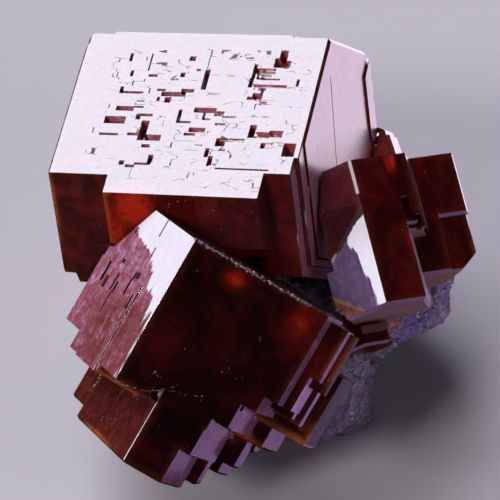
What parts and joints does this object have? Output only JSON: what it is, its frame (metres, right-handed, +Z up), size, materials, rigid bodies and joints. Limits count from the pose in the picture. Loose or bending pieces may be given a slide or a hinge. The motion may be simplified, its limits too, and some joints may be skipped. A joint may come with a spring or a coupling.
{
  "type": "vanadinite crystal specimen",
  "caption": "Cluster of stepped, pitted hexagonal prism crystals, dark red and translucent, grown together on a lump of grey rock with a flat sawn base.",
  "frame": {"origin": "centre of the bounding box at the foot of the sawn base", "axes": "+Z up from the sawn base, -Y towards the side with the big stepped crystals, +X to their right"},
  "size_m": [0.038, 0.0474, 0.0306],
  "materials": {
    "vanadinite_upper": "adamantine, polished prism faces with etched pits, nearly opaque in bulk and orange-red at thin edges",
    "vanadinite_lower": "adamantine, polished prism faces, stepped and striated down one side, nearly opaque in bulk",
    "vanadinite_right": "adamantine, polished prism faces, satin on the lower left face",
    "vanadinite_rear": "translucent orange-red with rounded, satin edges",
    "vanadinite_small": "satin brown-red",
    "matrix_rock": "rough grey-lavender rock with a thin druse of fine crystals"
  },
  "bodies": {
    "root": {"upper_crystal": "vanadinite_upper", "lower_crystal": "vanadinite_lower", "right_crystals": "vanadinite_right", "rear_crystal": "vanadinite_rear", "small_crystal": "vanadinite_small", "matrix": "matrix_rock"}
  },
  "joints": []
}
